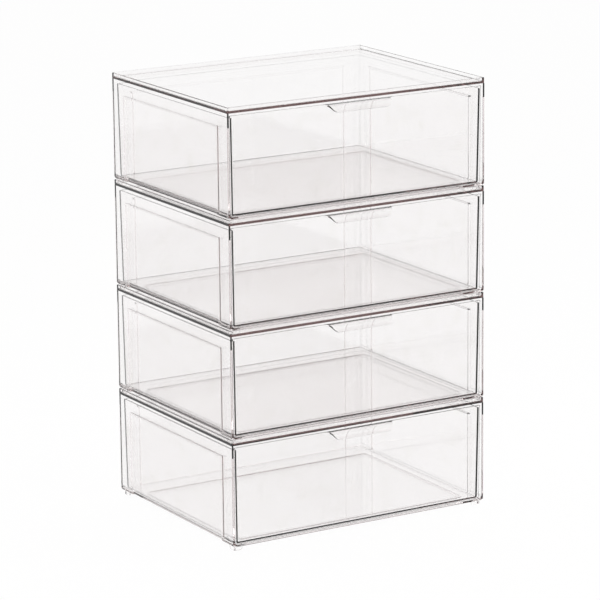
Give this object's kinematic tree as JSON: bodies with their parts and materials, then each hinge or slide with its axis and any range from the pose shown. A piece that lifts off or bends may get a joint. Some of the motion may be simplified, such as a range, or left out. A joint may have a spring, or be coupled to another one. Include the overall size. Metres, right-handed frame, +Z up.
{
  "type": "stackable drawer box",
  "caption": "Stack of clear moulded drawer boxes: each a case with a rimmed cover, corner feet and a drawer whose front carries a hooded pull.",
  "frame": {"origin": "floor height, middle of the stack's footprint with the drawer pulls counted in", "axes": "+Z up the stack, drawers open towards -Y, +X to the right of someone facing the fronts"},
  "size_m": [0.406, 0.3326, 0.6094],
  "materials": {
    "clear_case": "clear, polished",
    "clear_cover": "clear, polished",
    "clear_drawer": "clear, polished"
  },
  "bodies": {
    "box1": {"box1_case": "clear_case", "box1_cover": "clear_cover"},
    "box1_drawer": {"box1_drawer": "clear_drawer"},
    "box2": {"box2_case": "clear_case", "box2_cover": "clear_cover"},
    "box2_drawer": {"box2_drawer": "clear_drawer"},
    "box3": {"box3_case": "clear_case", "box3_cover": "clear_cover"},
    "box3_drawer": {"box3_drawer": "clear_drawer"},
    "box4": {"box4_case": "clear_case", "box4_cover": "clear_cover"},
    "box4_drawer": {"box4_drawer": "clear_drawer"}
  },
  "joints": [
    {"name": "box1_drawer_slide", "type": "slide", "parent": "box1", "child": "box1_drawer", "axis": [0, -1, 0], "range_m": [0, 0.22]},
    {"name": "box2_lift", "type": "slide", "parent": "box1", "child": "box2", "axis": [0, 0, 1], "range_m": [0, 0.04]},
    {"name": "box2_drawer_slide", "type": "slide", "parent": "box2", "child": "box2_drawer", "axis": [0, -1, 0], "range_m": [0, 0.22]},
    {"name": "box3_lift", "type": "slide", "parent": "box2", "child": "box3", "axis": [0, 0, 1], "range_m": [0, 0.04]},
    {"name": "box3_drawer_slide", "type": "slide", "parent": "box3", "child": "box3_drawer", "axis": [0, -1, 0], "range_m": [0, 0.22]},
    {"name": "box4_lift", "type": "slide", "parent": "box3", "child": "box4", "axis": [0, 0, 1], "range_m": [0, 0.04]},
    {"name": "box4_drawer_slide", "type": "slide", "parent": "box4", "child": "box4_drawer", "axis": [0, -1, 0], "range_m": [0, 0.22]}
  ]
}
